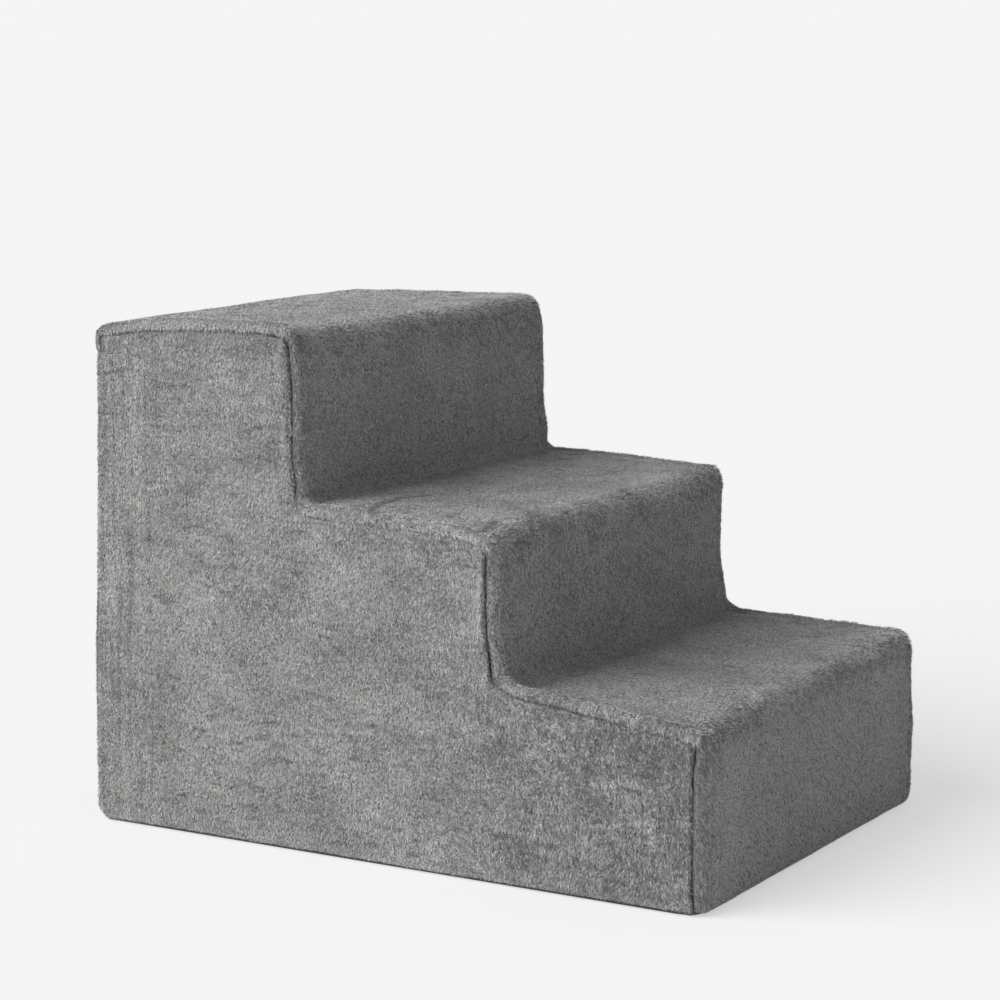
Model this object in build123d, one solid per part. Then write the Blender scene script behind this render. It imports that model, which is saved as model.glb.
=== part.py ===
"""Three-step foam pet stairs in a removable plush cover.

The frame stands at the middle of the underside: +Z is up, +Y is the way a pet climbs, so the
risers face -Y and the tall back faces +Y, and X runs across the width. All sizes are in
millimetres.

The stairs are three glued foam slabs inside a sewn cover. The cover has one strip over the
risers and treads, two stair-shaped sides that turn the back corners, a back panel, a strip at
the foot of the back and a dark base cloth with rubber dots. A zip lies in the gap between the
back panel and the foot strip. Its slider runs along X, and its pull turns on the slider's bail.
"""

from build123d import *
import os

os.makedirs("parts", exist_ok=True)

# Overall size, over the plush
overall_width = 394.0
overall_depth = 558.0
overall_height = 406.0

# Steps: the top step takes what the lower two leave
lowest_tread_depth = 174.0
middle_tread_depth = 184.0
lowest_rise = 145.0
middle_rise = 127.0

# Soft corners of the cover
nose_radius = 18.0
cove_radius = 14.0
back_top_radius = 14.0
edge_round = 12.0
edge_round_share = 0.85

# Plush cover
cover_thickness = 7.0
seam_channel_width = 2.2
seam_channel_depth = 3.2
back_corner_wrap = 24.0
back_seam_drop = 22.0

# Base cloth and its dots
base_cloth_thickness = 2.5
base_cloth_inset = 1.5
dot_height = 0.8
dot_diameter = 8.0
dot_pitch = 60.0
dot_sides = 12

# Zip: place and tapes
zip_height = 38.0
tape_thickness = 0.6
tape_gap = 2.4
tape_seat = 8.0
zip_slot_margin = 3.2
foam_clearance = 0.5

# Zip: teeth
tooth_pitch = 3.2
tooth_width = 1.3
tooth_thickness = 2.3
tooth_reach = 2.6
tooth_overlap = 0.45
tooth_tip_chamfer = 0.35

# Zip: slider
slider_length = 11.0
wing_thickness = 0.8
flange_thickness = 0.8
channel_clearance = 0.15
tape_slot_clearance = 0.2
post_length = 5.0
post_width = 1.6
post_set_back = 0.4
wing_edge_bevel = 0.25

# Zip: bail and pull
bail_length = 6.0
bail_width = 1.8
bail_bar = 0.7
bail_opening_length = 2.6
bail_round = 0.6
pull_length = 24.0
pull_thickness = 1.2
pull_eye_width = 6.0
pull_waist_width = 4.4
pull_grip_width = 7.0
pull_grip_length = 9.0
pull_round = 1.6
pull_clearance = 0.1
pull_side_clearance = 0.25

# Zip: stops
stop_length = 3.0
stop_gap = 0.3
zip_end_gap = 2.0

# Runs past a face that it cuts
overrun = 5.0

# Places that follow from the sizes
half_width = overall_width / 2
half_depth = overall_depth / 2
cover_foot = dot_height + base_cloth_thickness
lowest_level = lowest_rise
middle_level = lowest_rise + middle_rise
middle_riser_y = lowest_tread_depth - half_depth
top_riser_y = lowest_tread_depth + middle_tread_depth - half_depth
side_round = min(edge_round, edge_round_share * min(nose_radius, back_top_radius))
back_inner_y = half_depth - cover_thickness
back_seam_z = overall_height - back_seam_drop
back_panel_half = half_width - back_corner_wrap

# Zip places: x runs along the chain, the chain's middle plane is parallel to the back
channel_half = tooth_thickness / 2 + channel_clearance
wing_face = channel_half + wing_thickness
zip_plane_y = back_inner_y + foam_clearance + wing_face
chain_spread = tooth_overlap + channel_clearance + post_width / 2
channel_rear = tooth_reach + channel_clearance
channel_front = tooth_reach + chain_spread + channel_clearance
slider_half_width = channel_front + flange_thickness
slot_half = slider_half_width + zip_slot_margin
eye_radius = pull_thickness / 2
hinge_height = wing_face + eye_radius + pull_clearance
slider_closed_x = back_panel_half - pull_length - zip_end_gap
slider_open_x = -slider_closed_x
slider_half = slider_length / 2


def stair_outline(inset, foot, bridged=True):
    """The side outline moved in by inset all round, standing on the height foot.

    Cloth bridges the inner corners in a curve, and the foam under it is cut square there.
    """
    front, back = inset - half_depth, half_depth - inset
    points = [
        (front, foot),
        (front, lowest_level - inset),
        (middle_riser_y + inset, lowest_level - inset),
        (middle_riser_y + inset, middle_level - inset),
        (top_riser_y + inset, middle_level - inset),
        (top_riser_y + inset, overall_height - inset),
        (back, overall_height - inset),
        (back, foot),
    ]
    nose = max(nose_radius - inset, 0)
    cove = cove_radius + inset if bridged else 0
    back_top = max(back_top_radius - inset, 0)
    radii = [0, nose, cove, nose, cove, nose, back_top, 0]
    return Plane.YZ * make_face(FilletPolyline(*points, radius=radii, close=True))


def block(low, high):
    """A box from its lowest to its highest corner."""
    size = [b - a for a, b in zip(low, high)]
    middle = [(a + b) / 2 for a, b in zip(low, high)]
    return Pos(*middle) * Box(*size)


def plan_prism(inset, low, high):
    """The plan outline moved in by inset, between two heights."""
    plan = RectangleRounded(
        overall_width - 2 * inset, overall_depth - 2 * inset, side_round - inset
    )
    return Pos(0, 0, low) * extrude(plan, high - low)


def cover_envelope():
    """The outer shape of the plush, with every side edge rounded."""
    body = extrude(stair_outline(0, cover_foot), half_width, both=True)
    ends = body.faces().filter_by(Axis.X)
    side_edges = ends.edges().filter_by(lambda edge: edge.center().Z > cover_foot + side_round / 4)
    return fillet(side_edges, side_round)


def foam_core():
    """The foam block that fills the cover."""
    outline = stair_outline(cover_thickness, cover_foot, bridged=False)
    return extrude(outline, half_width - cover_thickness, both=True)


def side_zone(side):
    """What belongs to a side panel: the panel inside the seam line, and the back corner."""
    outline = stair_outline(cover_thickness, cover_foot - overrun)
    panel = Pos(side * half_width, 0, 0) * extrude(outline, -side * cover_thickness)
    x_out, x_in = side * (half_width + overrun), side * back_panel_half
    corner = block(
        (min(x_out, x_in), back_inner_y, cover_foot - overrun),
        (max(x_out, x_in), half_depth + overrun, back_seam_z),
    )
    return panel + corner


def back_zone(low, high):
    """The wall of the cover behind the foam, between two heights."""
    return block(
        (-half_width - overrun, back_inner_y, low), (half_width + overrun, half_depth + overrun, high)
    )


def seam_channels():
    """The creases of the sewn seams, as channels to be cut from the plush."""
    half = seam_channel_width / 2
    line = stair_outline(cover_thickness - half, cover_foot - overrun) - stair_outline(
        cover_thickness + half, cover_foot - overrun
    )
    below_back_seam = block(
        (-half_width - overrun, back_inner_y - overrun, -overrun),
        (half_width + overrun, half_depth + overrun, back_seam_z - half),
    )
    sides = []
    for side in (-1, 1):
        along_outline = Pos(side * half_width, 0, 0) * extrude(line, -side * seam_channel_depth)
        sides.append(along_outline - below_back_seam)
    across = plan_prism(0, back_seam_z - half, back_seam_z + half) - plan_prism(
        seam_channel_depth, back_seam_z - half, back_seam_z + half
    )
    across = across & back_zone(back_seam_z - half, back_seam_z + half)
    uprights = [
        block(
            (side * back_panel_half - half, half_depth - seam_channel_depth, 0),
            (side * back_panel_half + half, half_depth + overrun, back_seam_z),
        )
        for side in (-1, 1)
    ]
    return sides + [across] + uprights


def cut_all(piece, tools):
    for tool in tools:
        piece = piece - tool
    return piece


def tape(side):
    """One zip tape: its inner edge carries the teeth, its outer edge is sewn into the plush."""
    inner, outer = tape_gap / 2, slot_half + tape_seat
    edges = sorted((zip_height + side * inner, zip_height + side * outer))
    return block(
        (-back_panel_half, zip_plane_y - tape_thickness / 2, edges[0]),
        (back_panel_half, zip_plane_y + tape_thickness / 2, edges[1]),
    )


def tooth(side, spread):
    """One tooth, in the zip's plane: a clamp round the tape's edge with a chamfered head.

    Inside the slider the tooth stands out by its spread, and bites that much further over the tape.
    """
    tip, back, bite = -tooth_overlap, tooth_reach, tape_gap / 2 - spread
    half, slot = tooth_thickness / 2, tape_thickness / 2
    bevel = tooth_tip_chamfer
    points = [
        (tip + bevel, half),
        (back, half),
        (back, slot),
        (bite, slot),
        (bite, -slot),
        (back, -slot),
        (back, -half),
        (tip + bevel, -half),
        (tip, 0),
    ]
    section = make_face(Polyline(*points, close=True))
    # The section's x points away from the chain's middle, its y out of the back
    across = Plane(origin=(0, 0, 0), x_dir=(0, 0, side), z_dir=(-side, 0, 0))
    return extrude(across * section, tooth_width / 2, both=True)


def spread_at(x):
    """How far the teeth stand apart inside the slider, from none at its tail to full at its post."""
    start = slider_closed_x - slider_half / 2 + tooth_width / 2
    end = slider_closed_x + slider_half - post_length + tooth_width / 2
    share = (x - start) / (end - start)
    return chain_spread * min(max(share, 0), 1)


def teeth_row(side):
    """A row of teeth from the open end to the stops at the closed end."""
    first = slider_open_x - slider_half
    last = slider_closed_x + slider_half
    count = int((last - first) / tooth_pitch)
    meshed = tooth(side, 0)
    row = []
    for number in range(count):
        x = first + tooth_pitch * (number + (1 + side / 2) / 2)
        spread = spread_at(x)
        one = tooth(side, spread) if spread else meshed
        row.append(Pos(x, zip_plane_y, zip_height + side * spread) * one)
    return row


def zip_place(x):
    """A plane in the zip: local x along the chain, local z out of the back."""
    return Plane(origin=(x, zip_plane_y, zip_height), x_dir=(1, 0, 0), z_dir=(0, 1, 0))


def slider():
    """Two wings joined by a guide post, flanges that hold the chain, and a bail for the pull."""
    tail, nose = -slider_half, slider_half
    waist = slider_half_width - chain_spread
    shoulder = nose - post_length
    plan = make_face(
        FilletPolyline(
            (tail, -waist),
            (-slider_half / 2, -waist),
            (shoulder, -slider_half_width),
            (nose, -slider_half_width),
            (nose, slider_half_width),
            (shoulder, slider_half_width),
            (-slider_half / 2, waist),
            (tail, waist),
            radius=flange_thickness,
            close=True,
        )
    )
    channel = make_face(
        Polyline(
            (tail - overrun, -channel_rear),
            (-slider_half / 2, -channel_rear),
            (shoulder, -channel_front),
            (nose + overrun, -channel_front),
            (nose + overrun, channel_front),
            (shoulder, channel_front),
            (-slider_half / 2, channel_rear),
            (tail - overrun, channel_rear),
            close=True,
        )
    )
    wing = extrude(plan, wing_thickness)
    wing = chamfer(wing.edges().group_by(Axis.Z)[-1], wing_edge_bevel)
    flange_height = channel_half - tape_thickness / 2 - tape_slot_clearance
    flanges = extrude(plan - channel, -flange_height)
    half_body = Pos(0, 0, channel_half) * (wing + flanges)
    post_end = nose - post_set_back
    post = make_face(
        Polyline(
            (nose - post_length, 0),
            (post_end - post_length / 3, -post_width / 2),
            (post_end, 0),
            (post_end - post_length / 3, post_width / 2),
            close=True,
        )
    )
    body = half_body + mirror(half_body, Plane.XY) + extrude(post, channel_half, both=True)
    arch_height = hinge_height - wing_face + eye_radius + pull_clearance + bail_bar
    arch = Rectangle(bail_length, arch_height, align=(Align.CENTER, Align.MIN))
    arch = fillet(arch.vertices().group_by(Axis.Y)[-1], bail_round)
    opening = Rectangle(
        bail_opening_length, arch_height - bail_bar, align=(Align.CENTER, Align.MIN)
    )
    bail = extrude(Plane.XZ * (arch - opening), bail_width / 2, both=True)
    return body + Pos(0, 0, wing_face) * bail


def pull_tab():
    """The pull: an eye round the bail with a round bar on the hinge line, a waist and a grip."""
    eye_half, waist_half, grip_half = pull_eye_width / 2, pull_waist_width / 2, pull_grip_width / 2
    eye_end = bail_length / 2 + 3 * pull_clearance + eye_radius
    arm_end = eye_end + pull_thickness
    waist = (arm_end + pull_length - pull_grip_length) / 2
    plan = make_face(
        FilletPolyline(
            (0, -eye_half),
            (-arm_end, -eye_half),
            (-waist, -waist_half),
            (pull_grip_length - pull_length, -grip_half),
            (-pull_length, -grip_half),
            (-pull_length, grip_half),
            (pull_grip_length - pull_length, grip_half),
            (-waist, waist_half),
            (-arm_end, eye_half),
            (0, eye_half),
            radius=[0, pull_round, pull_round, pull_round, pull_round]
            + [pull_round, pull_round, pull_round, pull_round, 0],
            close=True,
        )
    )
    eye = Rectangle(
        eye_end, bail_width + 2 * pull_side_clearance, align=(Align.MAX, Align.CENTER)
    )
    plate = extrude(plan - eye, eye_radius, both=True)
    bar = Rot(90, 0, 0) * Cylinder(eye_radius, pull_eye_width)
    return Pos(0, 0, hinge_height) * (plate + bar)


def stop(low_x, low_v, high_v):
    """A metal stop clamped over the zip between two heights, still to be cut for the tapes."""
    half = tooth_thickness / 2
    return block(
        (low_x, zip_plane_y - half, zip_height + low_v),
        (low_x + stop_length, zip_plane_y + half, zip_height + high_v),
    )


def dots():
    """A centred grid of low rubber dots under the base cloth."""
    room = dot_pitch + dot_diameter
    across = 2 * int((half_width - room / 2) / dot_pitch) + 1
    along = 2 * int((half_depth - room / 2) / dot_pitch) + 1
    dot = extrude(RegularPolygon(dot_diameter / 2, dot_sides), dot_height)
    return [place * dot for place in GridLocations(dot_pitch, dot_pitch, across, along)]


def save(node, solids):
    solids = solids if isinstance(solids, list) else [solids]
    whole = solids[0] if len(solids) == 1 else Compound(children=solids)
    export_step(whole, f"parts/{node}.step")


envelope = cover_envelope()
core = foam_core()
cover = envelope - core
left_zone, right_zone = side_zone(-1), side_zone(1)
whole_back = back_zone(cover_foot - overrun, back_seam_z)
channels = seam_channels()
upper_tape, lower_tape = tape(1), tape(-1)
slot_low, slot_high = zip_height - slot_half, zip_height + slot_half

# Foam slabs, parted at the levels of the lower treads
slab_one = lowest_level - cover_thickness
slab_two = middle_level - cover_thickness
everywhere = 2 * (overall_width + overall_depth + overall_height)
slab_cuts = (("foam_base_slab", 0, slab_one), ("foam_middle_slab", slab_one, slab_two))
for slab_name, low, high in slab_cuts + (("foam_top_slab", slab_two, overall_height),):
    layer = block((-everywhere, -everywhere, low), (everywhere, everywhere, high))
    save(slab_name, core & layer)

# Plush cover
save("cover_step_runner", cut_all(cover, [left_zone, right_zone, whole_back] + channels))
save("cover_side_left", cut_all(cover & left_zone, channels))
save("cover_side_right", cut_all(cover & right_zone, channels))
middle_back = block(
    (-back_panel_half, back_inner_y, 0), (back_panel_half, half_depth + overrun, back_seam_z)
)
back_wall = cut_all(cover & middle_back, channels + [upper_tape, lower_tape])
save("cover_back_panel", back_wall & back_zone(slot_high, back_seam_z))
save("cover_back_foot", back_wall & back_zone(0, slot_low))

# Base cloth and dots
save("base_panel", plan_prism(base_cloth_inset, dot_height, cover_foot))
save("grip_dots", dots())

# Zip
save("zip_tape_upper", upper_tape)
save("zip_tape_lower", lower_tape)
save("zip_teeth_upper", teeth_row(1))
save("zip_teeth_lower", teeth_row(-1))
top_stop_x = slider_closed_x + slider_half + stop_gap
bottom_stop_x = slider_open_x - slider_half - stop_gap - stop_length
tapes = [upper_tape, lower_tape]
top_stops = [stop(top_stop_x, post_width / 2, tooth_reach), stop(top_stop_x, -tooth_reach, -post_width / 2)]
save("zip_top_stops", [cut_all(each, tapes) for each in top_stops])
save("zip_bottom_stop", cut_all(stop(bottom_stop_x, -tooth_reach, tooth_reach), tapes))
save("zip_slider", zip_place(slider_closed_x) * slider())
save("zip_pull_tab", zip_place(slider_closed_x) * pull_tab())

print("slider travel", slider_closed_x - slider_open_x, "closed at x", slider_closed_x)
print("pull hinge at", (slider_closed_x, zip_plane_y + hinge_height, zip_height))
print("back face y", half_depth, "bail top y", zip_plane_y + hinge_height + eye_radius + pull_clearance + bail_bar)
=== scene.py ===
"""Pet stairs of three foam slabs in a grey plush cover with a zip across the foot of the back.

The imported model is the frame. Each soft solid of it is replaced by sewn cloth over foam, and the
plush's pile is modelled as tufts of fibre that stand on the cloth. All lengths are in metres, in
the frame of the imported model: +Z is up, the risers face -Y, the zip is at the foot of +Y.
"""

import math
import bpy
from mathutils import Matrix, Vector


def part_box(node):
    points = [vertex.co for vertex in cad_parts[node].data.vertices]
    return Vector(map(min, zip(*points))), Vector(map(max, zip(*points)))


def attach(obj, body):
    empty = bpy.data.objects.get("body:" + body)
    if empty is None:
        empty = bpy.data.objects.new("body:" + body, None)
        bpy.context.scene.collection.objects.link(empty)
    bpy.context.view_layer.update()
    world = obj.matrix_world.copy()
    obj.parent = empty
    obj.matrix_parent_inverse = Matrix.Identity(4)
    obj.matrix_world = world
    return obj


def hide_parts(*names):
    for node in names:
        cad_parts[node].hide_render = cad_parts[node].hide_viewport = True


bl_info = {
    "name": "Pet stairs",
    "version": (1, 0, 0),
    "blender": (4, 5, 0),
    "location": "3D View > Sidebar > Pet stairs",
    "description": "Builds plush-covered foam pet stairs with a zipped cover on the packed model",
    "category": "Object",
}

from functools import partial

import bmesh
import bpy
import numpy as np
from bpy.props import FloatProperty, FloatVectorProperty, IntProperty, PointerProperty
from mathutils import Matrix, Vector, noise

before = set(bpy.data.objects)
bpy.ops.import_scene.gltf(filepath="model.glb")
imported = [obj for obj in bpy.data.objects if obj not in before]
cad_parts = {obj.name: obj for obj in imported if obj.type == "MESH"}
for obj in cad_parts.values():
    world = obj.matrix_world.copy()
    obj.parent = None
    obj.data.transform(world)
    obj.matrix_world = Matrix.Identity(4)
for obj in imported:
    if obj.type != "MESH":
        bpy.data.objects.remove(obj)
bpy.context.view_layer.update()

MM = 0.001

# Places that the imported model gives
RUNNER_LOW, RUNNER_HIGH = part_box("cover_step_runner")
BASE_SLAB_LOW, BASE_SLAB_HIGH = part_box("foam_base_slab")
MIDDLE_SLAB_LOW, MIDDLE_SLAB_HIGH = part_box("foam_middle_slab")
TOP_SLAB_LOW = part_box("foam_top_slab")[0]
BACK_PANEL_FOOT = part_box("cover_back_panel")[0].z
FOOT_STRIP_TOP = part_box("cover_back_foot")[1].z

WALL = BASE_SLAB_LOW.y - RUNNER_LOW.y
FRONT, BACK = RUNNER_LOW.y, RUNNER_HIGH.y
HALF_WIDTH = RUNNER_HIGH.x
LOWEST_TREAD = BASE_SLAB_HIGH.z + WALL
MIDDLE_TREAD = MIDDLE_SLAB_HIGH.z + WALL
TOP_TREAD = RUNNER_HIGH.z
MIDDLE_RISER = MIDDLE_SLAB_LOW.y - WALL
TOP_RISER = TOP_SLAB_LOW.y - WALL

# Roundings and seams of the sewn cover
NOSE_RADIUS = 18 * MM
COVE_RADIUS = 14 * MM
BACK_TOP_RADIUS = 10 * MM
UPRIGHT_RADIUS = 11.9 * MM
BACK_SEAM = TOP_TREAD - 22 * MM
BACK_SIDE_SEAM = HALF_WIDTH - 24 * MM
SEAM_CLEARANCE = 0.5 * MM
# How far the back and sides reach up under the flap at the top of the back
UNDERLAP = 2 * MM
# How much lower the seam lies beside a tread than it lies behind a riser
SEAM_DROP = 2 * MM
# The plush hangs over the rim of the base cloth, which it hides but for its lowest edge
HEM = 1.6 * MM


def linear(hex_colour):
    """An sRGB hex value as linear red, green and blue."""
    channels = [int(hex_colour[i : i + 2], 16) / 255 for i in (1, 3, 5)]
    return [c / 12.92 if c <= 0.04045 else ((c + 0.055) / 1.055) ** 2.4 for c in channels]


def colour(name, hex_colour, description):
    """A colour that a user may change."""
    return FloatVectorProperty(
        name=name, description=description, subtype="COLOR", size=3, min=0, max=1,
        default=linear(hex_colour),
    )


def length(name, millimetres, description):
    """A length that a user may change."""
    return FloatProperty(
        name=name, description=description, default=millimetres * MM, min=0, unit="LENGTH",
        precision=4,
    )


class PetStairsSizes(bpy.types.PropertyGroup):
    pile_height: length("Pile height", 1.5, "How far the pile stands over the cloth under it")
    pile_length: length("Fibre length", 2.4, "Length of one tuft of the pile")
    pile_width: length("Fibre width", 0.6, "Width of one tuft of the pile")
    pile_count: IntProperty(
        name="Tufts per square centimetre", description="How densely the pile grows",
        default=165, min=1, max=180,
    )
    cloth_thickness: length("Cloth thickness", 1.2, "Thickness of the knitted backing")
    undulation: length("Undulation", 0.9, "How far the filled cover is uneven")
    pucker: length("Pucker", 0.8, "How far the cloth gathers along a seam")


class PetStairsColours(bpy.types.PropertyGroup):
    plush: colour("Plush", "#CBCAC9", "Colour of the pile")
    backing: colour("Backing", "#A8A7A6", "Colour of the cloth under the pile")
    foam: colour("Foam", "#D9D6C8", "Colour of the filling")
    base_cloth: colour("Base cloth", "#38383A", "Colour of the woven cloth underneath")
    rubber: colour("Dots", "#2A2A2B", "Colour of the grip dots")
    zip_tape: colour("Zip tape", "#6B6B6C", "Colour of the woven tapes and their thread")
    zip_teeth: colour("Zip teeth", "#77777A", "Colour of the moulded teeth")
    zip_metal: colour("Zip metal", "#B9B7B2", "Colour of the slider, pull and stops")
    floor: colour("Floor", "#F5F5F6", "Colour of the floor and the background")


def sizes():
    return bpy.context.scene.pet_stairs_sizes


def colours():
    return bpy.context.scene.pet_stairs_colours


# Nodes and materials

MATH, VECTOR_MATH = "ShaderNodeMath", "ShaderNodeVectorMath"
NOISE, MAP_RANGE = "ShaderNodeTexNoise", "ShaderNodeMapRange"
SEPARATE, COMBINE = "ShaderNodeSeparateXYZ", "ShaderNodeCombineXYZ"


def feed(node, inputs):
    """Link or set a node's inputs, by name or in order.

    A node that is given as an input is linked by its first output in use.
    """
    for key, value in inputs.items() if isinstance(inputs, dict) else enumerate(inputs):
        if isinstance(value, bpy.types.Node):
            value = next(socket for socket in value.outputs if socket.enabled)
        if isinstance(value, bpy.types.NodeSocket):
            node.id_data.links.new(value, node.inputs[key])
        else:
            node.inputs[key].default_value = value


def add_node(tree, kind, settings=None, inputs=(), stops=()):
    """Add one node with its settings or just its operation, its inputs, and a ramp's stops."""
    added = tree.nodes.new(kind)
    if isinstance(settings, str):
        settings = {"operation": settings}
    for name, value in (settings or {}).items():
        setattr(added, name, value)
    feed(added, inputs)
    for number, (position, tone) in enumerate(stops):
        elements = added.color_ramp.elements
        stop = elements[number] if number < 2 else elements.new(position)
        stop.position, stop.color = position, tone
    return added


def shade(rgb, factor):
    """A linear colour made lighter or darker, with an alpha of 1."""
    return [min(channel * factor, 1.0) for channel in rgb] + [1.0]


def new_material(name, rgb, **constants):
    """A Principled material in one colour, its shader, and the call that adds nodes to it."""
    material = bpy.data.materials.new(name)
    material.use_nodes = True
    shader = material.node_tree.nodes["Principled BSDF"]
    feed(shader, {"Base Color": shade(rgb, 1)})
    feed(shader, {key.replace("_", " "): value for key, value in constants.items()})
    return material, shader, partial(add_node, material.node_tree)


def size_scale(millimetres):
    """The scale of a noise texture whose features are as large as this."""
    return 1 / (millimetres * MM)


def relief(shader, height, stops, strength, distance):
    """Colour a surface by a height, and raise it by the same height over a distance in mm."""
    add = partial(add_node, shader.id_data)
    ramp = add("ShaderNodeValToRGB", None, {"Fac": height}, stops)
    raised = {"Height": height, "Strength": strength, "Distance": distance * MM}
    raised = add("ShaderNodeBump", None, raised)
    feed(shader, {"Base Color": ramp, "Normal": raised})
    return ramp


def speckled(shader, rgb, place, grain, low, high, bump):
    """Vary a colour by noise with grains of this many millimetres, and raise it by that noise."""
    fine = {"Vector": place, "Scale": size_scale(grain), "Detail": 3.0, "Roughness": 0.6}
    fine = add_node(shader.id_data, NOISE, None, fine)
    return fine, relief(shader, fine, [(0.3, shade(rgb, low)), (0.7, shade(rgb, high))], 0.6, bump)


def grained_material(name, rgb, grain, low, high, bump, **constants):
    """A material in one colour with a fine grain."""
    material, shader, add = new_material(name, rgb, **constants)
    place = add("ShaderNodeTexCoord").outputs["Object"]
    speckled(shader, rgb, place, grain, low, high, bump)
    return material


# The pile's pits: their size in mm, how far the noise that makes them is moved, and its level
PIT_SIZE = 1.7
PIT_MOVE = (1.48, 0.11, 0.0)
PIT_LEVEL = 0.43


def backing_finish():
    # Knitted polyester backing with the short undercoat of the plush: matt, and dark in the pits
    # between the tufts, where little light reaches it
    rgb = colours().backing
    material, shader, add = new_material(
        "knitted polyester plush backing", rgb,
        Roughness=0.95, Specular_IOR_Level=0.2, Sheen_Weight=0.15, Sheen_Roughness=0.6,
    )
    place = add("ShaderNodeTexCoord").outputs["Object"]
    _, darkened = speckled(shader, rgb, place, 1.1, 0.55, 1.25, 0.5)
    moved = add(VECTOR_MATH, "ADD", (place, PIT_MOVE))
    pits = add(NOISE, None, {"Vector": moved, "Scale": size_scale(PIT_SIZE), "Detail": 1.0})
    depth = add(
        MAP_RANGE, None,
        {"Value": pits, "From Min": PIT_LEVEL - 0.1, "From Max": PIT_LEVEL + 0.08, "To Min": 0.42},
    )
    # Painted shade where the pile is thin: the cloth is painted darker where it is pressed into a
    # seam and has no pile, and along the foot
    grown = add("ShaderNodeAttribute", {"attribute_name": "pile_density"}).outputs["Fac"]
    seam = add(MAP_RANGE, None, {"Value": grown, "To Min": 0.3})
    for share in (depth, seam):
        darkened = add(VECTOR_MATH, "SCALE", {0: darkened, "Scale": share})
    feed(shader, {"Base Color": darkened})
    return material


PILE_TONES = (0.38, 0.64, 0.86, 1.0, 1.09, 1.17, 1.26)


def pile_finishes():
    # Crimped polyester pile: matt fibres whose tips catch the light. Each tone is one colour all
    # over, because the variation is from tuft to tuft. The darker and lighter tones also carry the
    # painted light and shade of each place
    return [
        new_material(
            f"polyester pile, tone {number}", shade(colours().plush, tone)[:3],
            Roughness=0.75, Specular_IOR_Level=0.25, Sheen_Weight=0.25, Sheen_Roughness=0.5,
        )[0]
        for number, tone in enumerate(PILE_TONES, 1)
    ]


def foam_finish():
    # Open-cell polyurethane foam, cut with a wire: pale and matt with pores about 1 mm across
    rgb = colours().foam
    material, shader, add = new_material(
        "polyurethane foam", rgb, Roughness=0.9, Specular_IOR_Level=0.3
    )
    place = add("ShaderNodeTexCoord").outputs["Object"]
    pores = add("ShaderNodeTexVoronoi", None, {"Vector": place, "Scale": size_scale(1.1)})
    relief(shader, pores, [(0.05, shade(rgb, 0.55)), (0.45, shade(rgb, 1))], 0.7, 0.4)
    return material


def base_cloth_finish():
    # Plain-woven polyester oxford cloth, coated inside: dark, with the crowns of its threads, which
    # are 0.9 mm apart, painted lighter as painted sheen and the hollows between them painted darker
    # as painted shade
    rgb = colours().base_cloth
    material, shader, add = new_material(
        "woven oxford cloth", rgb, Roughness=0.8, Specular_IOR_Level=0.35
    )
    place = add("ShaderNodeTexCoord").outputs["Object"]
    parts = add(SEPARATE, None, (place,)).outputs
    turned = [add(MATH, "MULTIPLY", (parts[axis], math.pi / (0.9 * MM))) for axis in "XY"]
    crowns = [add(MATH, "SINE", (each,)) for each in turned]
    height = add(MATH, "MULTIPLY_ADD", (add(MATH, "MULTIPLY", crowns), 0.5, 0.5))
    relief(shader, height, [(0.1, shade(rgb, 0.6)), (0.9, shade(rgb, 1.3))], 0.8, 0.3)
    return material


def rubber_finish():
    # Printed thermoplastic rubber: dark, soft gloss with a fine cast grain
    return grained_material(
        "thermoplastic rubber dots", colours().rubber, 0.6, 0.8, 1.2, 0.1,
        Roughness=0.55, Specular_IOR_Level=0.4,
    )


def tape_finish():
    # Polyester zip tape in a herringbone twill: ribs about 0.9 mm apart, drawn twice as coarse as
    # the real 0.45 mm so that they show
    rgb = colours().zip_tape
    material, shader, add = new_material(
        "woven polyester zip tape", rgb, Roughness=0.8, Specular_IOR_Level=0.3, Sheen_Weight=0.1
    )
    place = add("ShaderNodeTexCoord").outputs["Object"]
    parts = add(SEPARATE, None, (place,)).outputs
    zigzag = add(MATH, "PINGPONG", (parts["Z"], 2.2 * MM))
    slanted = add(MATH, "ADD", (parts["X"], zigzag))
    rib = add(MATH, "SINE", (add(MATH, "MULTIPLY", (slanted, 2 * math.pi / (0.9 * MM))),))
    height = add(MATH, "MULTIPLY_ADD", (rib, 0.5, 0.5))
    relief(shader, height, [(0.0, shade(rgb, 0.7)), (1.0, shade(rgb, 1.15))], 0.8, 0.15)
    return material


def thread_finish():
    # Twisted polyester sewing thread: satin, with the ply as fine bands
    return grained_material(
        "polyester sewing thread", shade(colours().zip_tape, 1.35)[:3], 0.5, 0.8, 1.15, 0.1,
        Roughness=0.55, Specular_IOR_Level=0.4, Sheen_Weight=0.2,
    )


def teeth_finish():
    # Injection-moulded acetal: smooth and satin, with a faint flow mottle
    return grained_material(
        "moulded acetal teeth", colours().zip_teeth, 1.4, 0.9, 1.08, 0.03,
        Roughness=0.38, Specular_IOR_Level=0.5,
    )


def metal_finish():
    # Die-cast zinc alloy, nickel plated and tumbled: bright, softly brushed along the zip, and
    # duller in fine streaks
    rgb = colours().zip_metal
    material, shader, add = new_material("nickel-plated zinc alloy", rgb, Metallic=1.0)
    place = add("ShaderNodeTexCoord").outputs["Object"]
    stretched = add("ShaderNodeMapping", None, {"Vector": place, "Scale": (0.15, 1.0, 1.0)})
    fine, _ = speckled(shader, rgb, stretched, 0.35, 0.85, 1.08, 0.02)
    rough = {"Value": fine, "From Min": 0.3, "From Max": 0.7, "To Min": 0.22, "To Max": 0.42}
    feed(shader, {"Roughness": add(MAP_RANGE, None, rough)})
    return material


# Outlines and meshes

ARC_STEPS = 8
SMALLEST_ROUNDING = 0.3 * MM
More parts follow.
